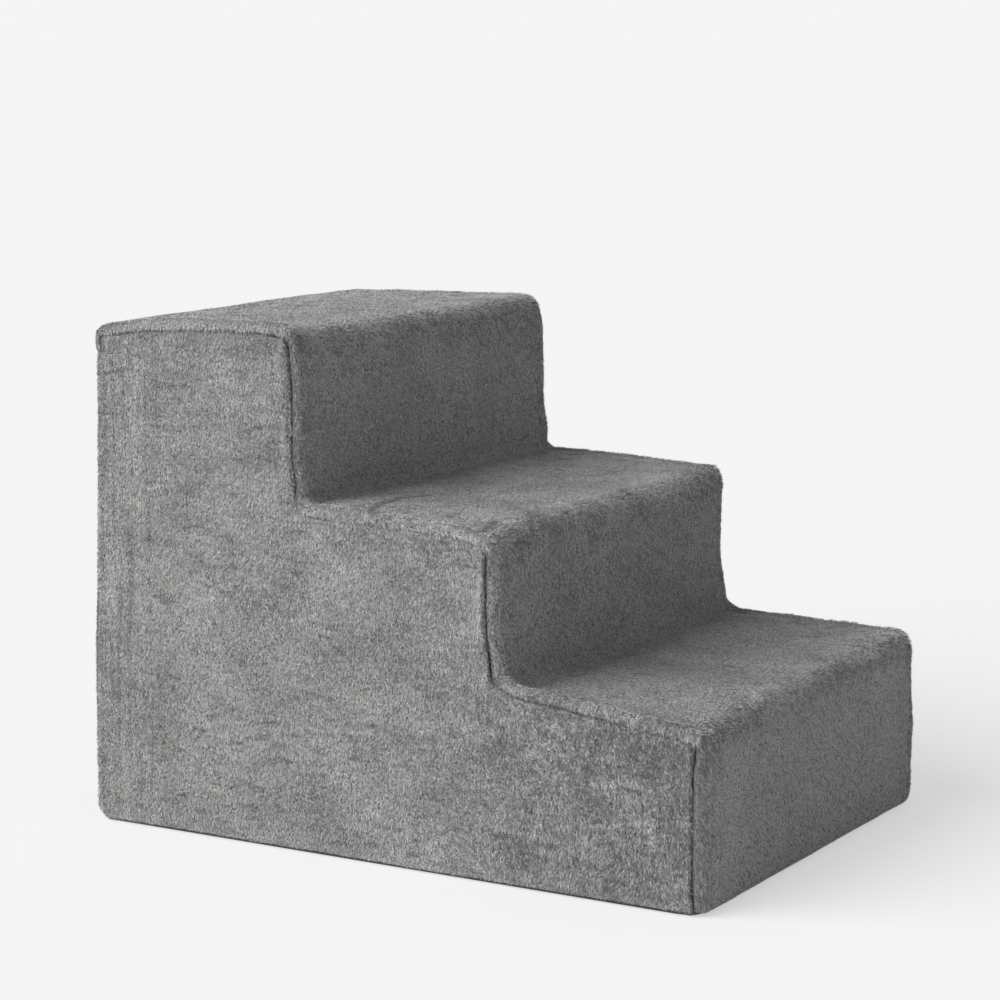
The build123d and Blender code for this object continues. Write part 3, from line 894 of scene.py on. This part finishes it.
def build_step_runner():
    """The strip that runs up the risers and over the treads, with rolled edges at both sides."""
    pile = sizes().pile_height
    points, facing, depth, edge = runner_stations(pile)
    half = HALF_WIDTH - pile
    roll, riser, corner = (
        np.array(section) * MM for section in (ROLL_SECTION, RISER_SECTION, CORNER_SECTION)
    )
    flat = half - roll[-1, 0]
    spans = round(2 * flat / ACROSS_SPACING)
    between = np.linspace(-flat, flat, spans + 1)[1:-1]
    rows, columns = len(points), 2 * len(roll) + len(between)
    # How much of each station has the wide rounding of the back corners
    wide = rising(points[:, 0], -60, -16, BACK) * (points[:, 1] > MIDDLE_TREAD)
    tread_share = smooth(0.4, 0.95, facing[:, 1])
    blended = riser + (roll - riser) * tread_share[:, None, None]
    blended += (corner - blended) * wide[:, None, None]
    inward, sunk = blended[:, :, 0], blended[:, :, 1]
    across = np.hstack([inward - half, np.tile(between, (rows, 1)), half - inward[:, ::-1]])
    fatter = 1 + SEAM_DROP / WALL * np.clip(facing[:, 1:], 0, 1) ** 2
    sunk = np.where(sunk > 0, sunk * fatter, sunk)
    rolled = np.hstack([sunk, np.zeros((rows, len(between))), sunk[:, ::-1]])
    below = rolled + depth[:, None] * np.clip(1 - rolled / (8 * MM), 0, 1)
    crown = CROWN * (1 - (across / half) ** 4)
    under = below - crown * (below < 0.3 * MM)
    y = points[:, :1] - under * facing[:, :1]
    z = points[:, 1:] - under * facing[:, 1:]
    placed = np.stack([across, y, z], axis=2).reshape(-1, 3)
    bm = bmesh.new()
    bmesh.ops.create_grid(bm, x_segments=columns - 1, y_segments=rows - 1, size=1)
    mesh = mesh_of(bm, "cover_step_runner")
    write_points(mesh, placed)
    face_out(mesh, (0, -1, 1))
    normals = read_vectors(mesh.vertices, "normal")
    noses = [(FRONT, LOWEST_TREAD), (MIDDLE_RISER, MIDDLE_TREAD), (TOP_RISER, TOP_TREAD)]
    apart = [np.hypot(placed[:, 1] - nose_y, placed[:, 2] - nose_z) for nose_y, nose_z in noses]
    nose_near = bell(np.min(apart, axis=0), 0, NOSE_REACH)
    from_side = half - np.abs(placed[:, 0])
    edge_near = np.exp(-from_side / EDGE_FADE)
    uneven = uneven_filling(placed, 85, np.exp(-from_side / SEAM_FADE), 3)
    # The gathered cloth stands in small swells at the corners of the noses
    uneven += 2.2 * sizes().pucker * (0.6 + waves(placed, 9, 8)) * nose_near * edge_near
    placed += normals * uneven[:, None]
    # The cloth turned into the seams ends above the foot
    turned_in = rising(rolled.ravel(), 2, 5)
    placed[:, 2] += TURNED_IN_LIFT * turned_in * falling(placed[:, 2], 0, 30)
    placed = settle(placed)
    wrinkle = wrinkled(placed)
    placed[:, 2] -= WRINKLE_DEPTH * wrinkle
    write_points(mesh, placed)
    piece = new_piece("cover_step_runner_plush", mesh, "plush", backing_finish())
    # The pile is short and brushed flat on the treads and risers, longer at the noses and seams,
    # and longest round the lowest step
    x, y, z = placed.T
    upright = np.maximum(nose_near, edge_near)
    level = np.repeat(tread_share, columns)
    at_seams = np.repeat(wide, columns) * (np.abs(x) > half - 14 * MM)
    covered = np.maximum(level * fur_covered(y), furry_corner(placed) * at_seams)
    growth = 0.5 + 0.08 * waves(placed, 30, 6) + 0.5 * upright + 0.5 * nose_near * edge_near
    shaggy = falling(z, -5, 15, LOWEST_TREAD) * falling(y, LONG_FUR_END, -150)
    growth += (0.1 * level + 0.45 * shaggy) * edge_near
    # Painted light and shade on the fur: painted shade down in a seam, in the wrinkles, on the
    # riser side of the noses, on the rolled edges beside the risers, most on the front riser, and
    # on the lowest tread; painted light on the rolled edges beside the treads, most on the top
    # tread, and on the front riser, more towards the right
    deep = smooth(2.4 + 3.4 * level, 4.6 + 3.4 * level, below.ravel() / MM) * (1 - covered)
    on_lowest = level * falling(z, -5, 30, LOWEST_TREAD)
    on_front = falling(z, -30, -5, LOWEST_TREAD)
    on_top = rising(z, -40, -15, TOP_TREAD)
    tone_and_light_shift = (1.2 * level - 1.0) * nose_near
    tone_and_light_shift += (1.9 + 2.2 * on_top - 2.8 * on_lowest) * level * (1 - 0.6 * covered) * edge_near
    tone_and_light_shift -= (1.5 + 5.2 * on_front) * (1 - level) * edge_near
    tone_and_light_shift += (
        (1.7 + 0.9 * rising(x, -60, 110)) * on_front
        - 1.15 * on_lowest * (1 - nose_near) - 5.0 * wrinkle - 3.5 * deep
    )
    stray = 0.35 + (0.35 + 0.3 * covered) * upright * (1 - 0.5 * on_front * (1 - level))
    rooted = (3.6 + 3.2 * level + 4.0 * covered) * MM
    grow_attributes(piece, -below.ravel(), rooted, growth, stray, tone_and_light_shift, 0.0, 11)
    # A row of faces belongs to the edge that it starts on
    finish_cover(piece, "cover_step_runner", np.repeat(edge[:-1].astype(int), columns - 1))


# The flat panels

# From a panel's seam towards its middle: distance from the seam, height over the flat, in mm.
# The panel stands in a ridge beside the seams of the risers, and slopes softly under the treads.
# Its edge reaches past the seam, so that two panels close the seam between them
RIDGE_SECTION = (
    (-0.8, -7.3), (0.0, -7.0), (1.3, -6.2), (2.3, -4.0), (3.1, -1.2), (4.2, 0.8), (5.6, 1.5),
    (7.4, 1.3), (9.8, 0.7), (13.0, 0.2), (18.0, 0.0), (26.0, 0.0),
)
SLOPE_SECTION = (
    (-0.8, -6.8), (0.0, -6.5), (0.6, -5.0), (1.3, -3.3), (2.2, -2.0), (3.6, -1.4), (5.6, -1.0),
    (8.2, -0.6), (11.5, -0.1), (14.5, 0.2), (18.5, 0.1), (26.0, 0.0),
)
RIM_SPACING = 3 * MM
CELL = 10 * MM
SIDE_PILE_SPLIT = 150 * MM


def faces_in(parts):
    return [part for part in parts if isinstance(part, bmesh.types.BMFace)]


def sewn_panel(name, corners, radii, seams, reach, cuts):
    """A flat panel whose border dips into its seams, in its own plane, with height as z.

    Seams gives for each edge how deep its seam is, and 1 where the panel slopes softly to it. Reach
    is how much of the section the panel has room for, and cuts are the further levels of x at which
    the middle is divided.
    """
    slope = list(zip(*SLOPE_SECTION))
    rings = []
    for distance, ridge in RIDGE_SECTION:
        path, _, edge = rounded_outline(corners, radii, distance * MM * reach, RIM_SPACING, True)
        deep, sloping = np.array([seams[int(place)] for place in edge]).T
        # A rounding between two edges goes over from the section of one to that of the other
        share = np.convolve(np.pad(sloping, 6, mode="wrap"), np.ones(13) / 13, mode="valid")
        heights = deep * (ridge * (1 - share) + np.interp(distance, *slope) * share)
        rings.append(np.column_stack([path, heights * MM]))
    around = len(rings[0])
    bm = bmesh.new()
    bmesh.ops.create_grid(bm, x_segments=around, y_segments=len(rings) - 1, size=1)
    bm.verts.ensure_lookup_table()
    for number, vert in enumerate(bm.verts):
        row, column = divmod(number, around + 1)
        vert.co = rings[row][column % around]
        vert.tag = row == len(rings) - 1
    bmesh.ops.remove_doubles(bm, verts=bm.verts[:], dist=0.001 * MM)
    rim = [edge for edge in bm.edges if edge.is_boundary and all(vert.tag for vert in edge.verts)]
    middle = faces_in(bmesh.ops.triangle_fill(bm, use_beauty=True, edges=rim)["geom"])
    low, high = (Vector([pick(places) for places in zip(*corners)]) for pick in (min, max))
    upright, level = Vector((1, 0, 0)), Vector((0, 1, 0))
    planes = [(upright, place) for place in np.arange(low.x + CELL / 2, high.x, CELL)]
    planes += [(upright, place) for place in cuts]
    planes += [(level, place) for place in np.arange(low.y + CELL / 2, high.y, CELL)]
    for way, place in planes:
        parts = {part for face in middle for part in (face, *face.edges, *face.verts)}
        split = bmesh.ops.bisect_plane(
            bm, geom=list(parts), plane_co=way * place, plane_no=way, dist=0.01 * MM
        )
        middle = faces_in(split["geom"])
    bmesh.ops.recalc_face_normals(bm, faces=bm.faces[:])
    return mesh_of(bm, name)


def finish_panel(mesh, place, direction, node, seed, border, growth=None):
    """Place a sewn panel in the frame, make it uneven, settle it, and finish it for its node.

    Border gives how far points are from their seam, and 1 for those under a tread. Growth gives how
    fleecy the pile is.
    """
    flat = read_vectors(mesh.vertices, "co")
    heights = flat[:, 2].copy()
    apart, under_tread = border(flat)
    from_seam = np.maximum(apart, 0)
    near = np.exp(-from_seam / SEAM_FADE)
    uneven = uneven_filling(flat, 90, near, seed)
    placed = settle(place(flat[:, 0], flat[:, 1], heights - sizes().pile_height + uneven))
    write_points(mesh, placed)
    face_out(mesh, direction)
    piece = new_piece(f"{node}_plush", mesh, "plush", backing_finish())
    _, y, z = placed.T
    fleecy = growth(y, z) if growth else np.zeros(len(placed))
    # Beside a riser the nap lies in folds along the seam, and under a tread it is in a soft valley.
    # The fur has painted shade down in a seam, along the seams beside the risers and in the valley
    # under a tread, and it is darker where it is fleecy and low down towards the front
    beside = 1 - under_tread
    folds = np.exp(-from_seam / EDGE_FADE) * beside
    valley = bell(apart, 9, 7) * under_tread
    covered = np.maximum(under_tread * fur_covered(y), furry_corner(placed))
    deep = rising(-heights, 1.2, 3.6) * (1 - covered)
    share = 0.95 + 0.12 * waves(placed, 30, seed + 3) + 0.12 * near
    share *= 1 - 0.45 * beside * np.exp(-from_seam / (3 * MM))
    inner = falling(y, 60, 190) * falling(z, 250, 360)
    tone_and_light_shift = -0.6 * inner - 0.6 * folds - (1.5 + 1.2 * folds) * fleecy
    rooted = (1.2 + 2.2 * under_tread + 4 * covered) * MM
    grow_attributes(
        piece, heights, rooted, share * (1 + 0.35 * fleecy), 0.55 + 0.45 * fleecy,
        tone_and_light_shift - 0.8 * valley - 3.5 * deep, folds, seed + 4,
    )
    finish_cover(piece, node, read_vectors(mesh.polygons, "center")[:, 2] > SIDE_PILE_SPLIT)


def build_side_panel(side):
    """A stair-shaped side, which turns the upright back corner to its seam on the back."""
    node = "cover_side_left" if side < 0 else "cover_side_right"
    turn_start = BACK - UPRIGHT_RADIUS
    turn_end = turn_start + UPRIGHT_RADIUS * math.pi / 2
    rear = turn_end + HALF_WIDTH - UPRIGHT_RADIUS - BACK_SIDE_SEAM - SEAM_CLEARANCE
    front, mid, top = FRONT + WALL, MIDDLE_RISER + WALL, TOP_RISER + WALL
    lowest, middle, highest = (
        level - WALL - SEAM_DROP for level in (LOWEST_TREAD, MIDDLE_TREAD, TOP_TREAD)
    )
    corners = [
        (front, HEM), (front, lowest), (mid, lowest), (mid, middle), (top, middle), (top, highest),
        (BACK - WALL, highest), (BACK - WALL, BACK_SEAM + UNDERLAP), (rear, BACK_SEAM + UNDERLAP),
        (rear, HEM),
    ]
    nose, cove = NOSE_RADIUS - WALL - SEAM_DROP / 2, COVE_RADIUS + WALL + SEAM_DROP / 2
    radii = [0, nose, cove, nose, cove, nose, BACK_TOP_RADIUS - WALL, 3 * MM, 0, 0]
    # Depth of the seam along each edge: the front, the treads and risers, the back and the foot
    seams = [
        (1.0, 0), (0.75, 1), (1.0, 0), (0.5, 1), (1.0, 0), (0.8, 1), (0.8, 1), (0.75, 1), (0.8, 0),
        (0.5, 1),
    ]
    cuts = np.arange(turn_start, turn_end, 2.5 * MM)
    mesh = sewn_panel(node, corners, radii, seams, 1.0, cuts)

    def place(q, z, height):
        angle = np.clip((q - turn_start) / UPRIGHT_RADIUS, 0, math.pi / 2)
        radius = UPRIGHT_RADIUS + height
        x = HALF_WIDTH - UPRIGHT_RADIUS + radius * np.cos(angle)
        y = np.minimum(q, turn_start) + radius * np.sin(angle)
        return np.column_stack([side * (x - np.maximum(q - turn_end, 0)), y, z])

    def border(flat):
        q, z = flat[:, 0], flat[:, 1]
        upper = np.where(q < mid, lowest, np.where(q < top, middle, highest)) - z
        ahead = np.where(z < lowest, q - front, np.where(z < middle, q - mid, q - top))
        return np.minimum(np.minimum(upper, ahead), rear - q), upper < np.minimum(ahead, rear - q)

    def growth(y, z):
        return falling(z, -30, 60, LOWEST_TREAD) * falling(y, -90, 110, MIDDLE_RISER)

    finish_panel(mesh, place, (side, 0, 0), node, 30 + 10 * side, border, growth)


def build_back_pieces():
    """The back panel over the zip, and the strip at the foot of the back under it."""
    edge = BACK_SIDE_SEAM - SEAM_CLEARANCE

    def place(x, z, height):
        return np.column_stack([x, BACK + height, z])

    for name, low, high, seams, reach, seed in (
        (
            "cover_back_panel", BACK_PANEL_FOOT, BACK_SEAM + UNDERLAP,
            ((0.8, 0), (0.75, 1), (0.8, 0), (0.75, 0)), 1.0, 61,
        ),
        (
            "cover_back_foot", HEM, FOOT_STRIP_TOP,
            ((0.6, 0), (0.75, 0), (0.6, 0), (0.5, 0)), 0.42, 81,
        ),
    ):
        corners = [(-edge, low), (-edge, high), (edge, high), (edge, low)]

        def border(flat, low=low, high=high):
            sideways = edge - np.abs(flat[:, 0])
            upright = np.minimum(flat[:, 1] - low, high - flat[:, 1])
            return np.minimum(sideways, upright), np.zeros(len(flat))

        mesh = sewn_panel(name, corners, [0, 0, 0, 0], seams, reach, ())
        finish_panel(mesh, place, (0, 1, 0), name, seed, border)


# The rest of the object

FOAM_ROUNDING = 7 * MM
# How far the taut cover squeezes the foam at the sides and at the back
FOAM_SQUEEZE = 3.5 * MM
BASE_CLOTH_SET_BACK = 3.5 * MM
BASE_CLOTH_CORNER = 20 * MM
BASE_CLOTH_EDGE = 0.9 * MM


def build_foam():
    """The three glued foam slabs that fill the cover, with their edges eased."""
    finish = foam_finish()
    for name in ("foam_base_slab", "foam_middle_slab", "foam_top_slab"):
        low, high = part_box(name)
        bm = bmesh.new()
        bmesh.ops.create_cube(bm, size=1)
        squeezed = Vector((2 * FOAM_SQUEEZE, FOAM_SQUEEZE, 0))
        bmesh.ops.scale(bm, vec=high - low - squeezed, verts=bm.verts)
        middle = (low + high) / 2 - Vector((0, FOAM_SQUEEZE / 2, 0))
        bmesh.ops.translate(bm, vec=middle, verts=bm.verts)
        eased = [e for e in bm.edges if max(v.co.z for v in e.verts) > (low.z + high.z) / 2]
        bmesh.ops.bevel(
            bm, geom=eased, offset=FOAM_ROUNDING, affect="EDGES", segments=4, profile=0.5,
            material=-1, offset_type="OFFSET",
        )
        piece = new_piece(f"{name}_block", mesh_of(bm, name), "foam", finish)
        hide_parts(name)


def build_base_cloth():
    """The dark cloth underneath, with turned edges, and its printed dots."""
    low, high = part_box("base_panel")
    bm = bmesh.new()
    bmesh.ops.create_grid(bm, x_segments=1, y_segments=1, size=0.5)
    less = 2 * BASE_CLOTH_SET_BACK
    bmesh.ops.scale(bm, vec=(high.x - low.x - less, high.y - low.y - less, 1), verts=bm.verts)
    bmesh.ops.bevel(
        bm, geom=bm.verts[:], offset=BASE_CLOTH_CORNER, affect="VERTICES", segments=10,
        profile=0.5, material=-1, offset_type="OFFSET",
    )
    bmesh.ops.translate(bm, vec=(0, (low.y + high.y) / 2, low.z), verts=bm.verts)
    grown = bmesh.ops.extrude_face_region(bm, geom=bm.faces[:])
    risen = [part for part in grown["geom"] if isinstance(part, bmesh.types.BMVert)]
    bmesh.ops.translate(bm, vec=(0, 0, high.z - low.z), verts=risen)
    rims = [e for e in bm.edges if abs(e.verts[0].co.z - e.verts[1].co.z) < 0.1 * MM]
    bmesh.ops.bevel(
        bm, geom=rims, offset=BASE_CLOTH_EDGE, affect="EDGES", segments=3, profile=0.5,
        material=-1, offset_type="OFFSET",
    )
    bmesh.ops.recalc_face_normals(bm, faces=bm.faces[:])
    mesh = mesh_of(bm, "base_panel")
    piece = new_piece("base_panel_cloth", mesh, "base_cloth", base_cloth_finish())
    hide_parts("base_panel")
    dress("grip_dots", rubber_finish())


def dress(node, finish):
    """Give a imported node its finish."""
    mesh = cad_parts[node].data
    mesh.materials.clear()
    mesh.materials.append(finish)


def build_zip():
    """The zip: two woven tapes with stitches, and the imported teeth, stops, slider and pull."""
    tape_look, thread_look = tape_finish(), thread_finish()
    for name in ("zip_tape_upper", "zip_tape_lower"):
        low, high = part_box(name)
        bm = bmesh.new()
        bmesh.ops.create_grid(bm, x_segments=120, y_segments=8, size=0.5)
        bmesh.ops.scale(bm, vec=(high.x - low.x, high.z - low.z, 1), verts=bm.verts)
        bmesh.ops.rotate(bm, verts=bm.verts, matrix=Matrix.Rotation(math.pi / 2, 3, "X"))
        bmesh.ops.translate(bm, vec=(low + high) / 2, verts=bm.verts)
        mesh = mesh_of(bm, name)
        face_out(mesh, (0, 1, 0))
        piece = new_piece(f"{name}_woven", mesh, "zip_tape", tape_look)
        wall = high.y - low.y
        points = read_vectors(mesh.vertices, "co")
        points[:, 1] += wall / 2
        write_points(mesh, points)
        thicken(piece, wall)
        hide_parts(name)
        build_stitches(name, low, high, thread_look)
    teeth = teeth_finish()
    for node in ("zip_teeth_upper", "zip_teeth_lower"):
        dress(node, teeth)
    metal = metal_finish()
    for node in ("zip_top_stops", "zip_bottom_stop", "zip_slider", "zip_pull_tab"):
        dress(node, metal)


STITCH_LENGTH = 2.6 * MM
STITCH_PITCH = 3.4 * MM
THREAD_RADIUS = 0.24 * MM
STITCH_FROM_FOLD = 1.4 * MM


def build_stitches(tape, low, high, finish):
    """A row of stitches on a tape, just inside the fold of the plush."""
    if "upper" in tape:
        level = BACK_PANEL_FOOT - STITCH_FROM_FOLD
    else:
        level = FOOT_STRIP_TOP + STITCH_FROM_FOLD
    bm = bmesh.new()
    count = int((high.x - low.x) / STITCH_PITCH) - 1
    for number in range(count):
        x = (number - (count - 1) / 2) * STITCH_PITCH
        made = bmesh.ops.create_uvsphere(bm, u_segments=6, v_segments=5, radius=1)["verts"]
        bmesh.ops.scale(bm, vec=(THREAD_RADIUS, THREAD_RADIUS, STITCH_LENGTH / 2), verts=made)
        bmesh.ops.rotate(bm, verts=made, matrix=Matrix.Rotation(math.pi / 2, 3, "Y"))
        bmesh.ops.translate(bm, vec=(x, high.y + THREAD_RADIUS / 2, level), verts=made)
    new_piece(f"{tape}_stitches", mesh_of(bm, f"{tape}_stitches"), "zip_tape", finish)


# Floor, light and camera

CAMERA_PLACE = (-2.0983, -1.2285, 0.6494)
CAMERA_YAW, CAMERA_PITCH = 59.496, 7.359
CAMERA_LENS, CAMERA_SHIFT = 108.12, -0.09
FLOOR_RADIUS = 150.0
FILL_LIGHT = 0.3
FLOOR_BOUNCE = "#F0F0F0"
# The share of the light on the floor that the camera sees, and the share that the floor gives off
FLOOR_SHADOW, FLOOR_GLOW = 0.6, 0.572
# The main light: its strength, how wide it is in degrees, and where it comes from
LIGHT_ENERGY = 0.94 * math.pi
LIGHT_WIDTH = 60
LIGHT_FROM = (-0.72, 0.5, 0.46)


def seen_rays(tree):
    """1 for the rays that see the background: the camera's, and those of gloss and glass."""
    rays = add_node(tree, "ShaderNodeLightPath").outputs
    seen = rays["Is Camera Ray"]
    for kind in ("Is Glossy Ray", "Is Transmission Ray"):
        seen = add_node(tree, MATH, "MAXIMUM", (seen, rays[kind]))
    return seen


def build_stage():
    """A pale floor and background, one soft main light from the left and behind, and the camera."""
    scene = bpy.context.scene
    bm = bmesh.new()
    bmesh.ops.create_circle(bm, cap_ends=True, segments=96, radius=FLOOR_RADIUS)
    floor = new_object("floor", mesh_of(bm, "floor", False))
    # Smooth painted board, lit from within for the camera alone: near white, with the object's
    # shadow
    tone = colours().floor
    material, shader, add = new_material(
        "painted board", tone, Roughness=0.9, Specular_IOR_Level=0.0, Emission_Color=shade(tone, 1)
    )
    seen = seen_rays(material.node_tree)
    mixed = {
        "Factor": seen, "A": shade(linear(FLOOR_BOUNCE), 1), "B": shade(tone, FLOOR_SHADOW)
    }
    mixed = add("ShaderNodeMix", {"data_type": "RGBA"}, mixed)
    glow = add(MATH, "MULTIPLY", (seen, FLOOR_GLOW))
    feed(shader, {"Base Color": mixed, "Emission Strength": glow})
    floor.data.materials.append(material)

    world = bpy.data.worlds.new("studio")
    scene.world = world
    world.use_nodes = True
    tree = world.node_tree
    strength = add_node(tree, MAP_RANGE, None, {"Value": seen_rays(tree), "To Min": FILL_LIGHT})
    feed(tree.nodes["Background"], {"Color": shade(tone, 1), "Strength": strength})

    light = bpy.data.lights.new("main light", "SUN")
    light.energy = LIGHT_ENERGY
    light.angle = math.radians(LIGHT_WIDTH)
    lamp = new_object("main light", light)
    lamp.rotation_euler = Vector(LIGHT_FROM).to_track_quat("Z", "Y").to_euler()

    camera = new_object("camera", bpy.data.cameras.new("camera"))
    camera.data.sensor_fit = "HORIZONTAL"
    camera.data.sensor_width = 36
    camera.data.lens = CAMERA_LENS
    camera.data.shift_y = CAMERA_SHIFT
    camera.data.clip_end = 100
    camera.location = CAMERA_PLACE
    camera.rotation_euler = (math.radians(90 - CAMERA_PITCH), 0, math.radians(-CAMERA_YAW))
    scene.camera = camera
    scene.view_settings.view_transform = "Standard"


STRIP, LEFT, RIGHT = "cover_step_runner_plush", "cover_side_left_plush", "cover_side_right_plush"
# The pieces of pile: name, cover, and the numbers of the cover's parts
PILE_PIECES = (
    ("pile_lowest_riser", STRIP, (0,)),
    ("pile_lowest_tread", STRIP, (1,)),
    ("pile_middle_riser", STRIP, (2,)),
    ("pile_middle_tread", STRIP, (3,)),
    ("pile_top_riser", STRIP, (4,)),
    ("pile_top_tread", STRIP, (5, 6)),
    ("pile_side_left_lower", LEFT, (0,)),
    ("pile_side_left_upper", LEFT, (1,)),
    ("pile_side_right_lower", RIGHT, (0,)),
    ("pile_side_right_upper", RIGHT, (1,)),
    ("pile_back_panel", "cover_back_panel_plush", (0, 1)),
    ("pile_back_foot", "cover_back_foot_plush", (0, 1)),
)


def build_pile():
    """The pile of every plush piece, as tufts that stand on its cloth."""
    tuft = tuft_mesh()
    finishes = pile_finishes()
    for number, (name, cover, parts) in enumerate(PILE_PIECES):
        grow_pile(name, cover, parts, tuft, finishes, 100 + 70 * number)
    bpy.data.objects.remove(tuft)


# Operators


class PETSTAIRS_OT_foam(bpy.types.Operator):
    """Build the foam slabs inside the cover"""

    bl_idname = "petstairs.foam"
    bl_label = "Foam slabs"

    def execute(self, context):
        build_foam()
        return {"FINISHED"}


class PETSTAIRS_OT_step_runner(bpy.types.Operator):
    """Build the plush strip over the risers and treads"""

    bl_idname = "petstairs.step_runner"
    bl_label = "Step strip"

    def execute(self, context):
        build_step_runner()
        return {"FINISHED"}


class PETSTAIRS_OT_side_panels(bpy.types.Operator):
    """Build the two stair-shaped plush sides"""

    bl_idname = "petstairs.side_panels"
    bl_label = "Side panels"

    def execute(self, context):
        build_side_panel(-1)
        build_side_panel(1)
        return {"FINISHED"}


class PETSTAIRS_OT_back(bpy.types.Operator):
    """Build the back panel and the strip at the foot of the back"""

    bl_idname = "petstairs.back"
    bl_label = "Back panel and foot strip"

    def execute(self, context):
        build_back_pieces()
        return {"FINISHED"}


class PETSTAIRS_OT_base_cloth(bpy.types.Operator):
    """Build the dark cloth underneath and finish its grip dots"""

    bl_idname = "petstairs.base_cloth"
    bl_label = "Base cloth and dots"

    def execute(self, context):
        build_base_cloth()
        return {"FINISHED"}


class PETSTAIRS_OT_zip(bpy.types.Operator):
    """Build the zip's tapes and stitches, and finish its teeth, stops, slider and pull"""

    bl_idname = "petstairs.zip"
    bl_label = "Zip"

    def execute(self, context):
        build_zip()
        return {"FINISHED"}


class PETSTAIRS_OT_pile(bpy.types.Operator):
    """Grow the pile on every plush piece"""

    bl_idname = "petstairs.pile"
    bl_label = "Plush pile"

    def execute(self, context):
        build_pile()
        return {"FINISHED"}


class PETSTAIRS_OT_stage(bpy.types.Operator):
    """Build the floor, background, light and camera"""

    bl_idname = "petstairs.stage"
    bl_label = "Stage"

    def execute(self, context):
        build_stage()
        return {"FINISHED"}


OPERATORS = (
    PETSTAIRS_OT_foam,
    PETSTAIRS_OT_step_runner,
    PETSTAIRS_OT_side_panels,
    PETSTAIRS_OT_back,
    PETSTAIRS_OT_base_cloth,
    PETSTAIRS_OT_zip,
    PETSTAIRS_OT_pile,
    PETSTAIRS_OT_stage,
)


class PETSTAIRS_PT_panel(bpy.types.Panel):
    """Sizes and colours of the pet stairs, and a button for each piece"""

    bl_idname = "PETSTAIRS_PT_panel"
    bl_label = "Pet stairs"
    bl_space_type = "VIEW_3D"
    bl_region_type = "UI"
    bl_category = "Pet stairs"

    def draw(self, context):
        for group in (context.scene.pet_stairs_sizes, context.scene.pet_stairs_colours):
            box = self.layout.box()
            for name in group.__annotations__:
                box.prop(group, name)
        for operator in OPERATORS:
            self.layout.operator(operator.bl_idname)


CLASSES = (PetStairsSizes, PetStairsColours, PETSTAIRS_PT_panel) + OPERATORS


def register():
    for each in CLASSES:
        bpy.utils.register_class(each)
    bpy.types.Scene.pet_stairs_sizes = PointerProperty(type=PetStairsSizes)
    bpy.types.Scene.pet_stairs_colours = PointerProperty(type=PetStairsColours)


def unregister():
    del bpy.types.Scene.pet_stairs_colours
    del bpy.types.Scene.pet_stairs_sizes
    for each in reversed(CLASSES):
        bpy.utils.unregister_class(each)


def main():
    register()
    bpy.ops.petstairs.stage()
    bpy.ops.petstairs.foam()
    bpy.ops.petstairs.step_runner()
    bpy.ops.petstairs.side_panels()
    bpy.ops.petstairs.back()
    bpy.ops.petstairs.base_cloth()
    bpy.ops.petstairs.zip()
    bpy.ops.petstairs.pile()


if __name__ == "__main__":
    main()
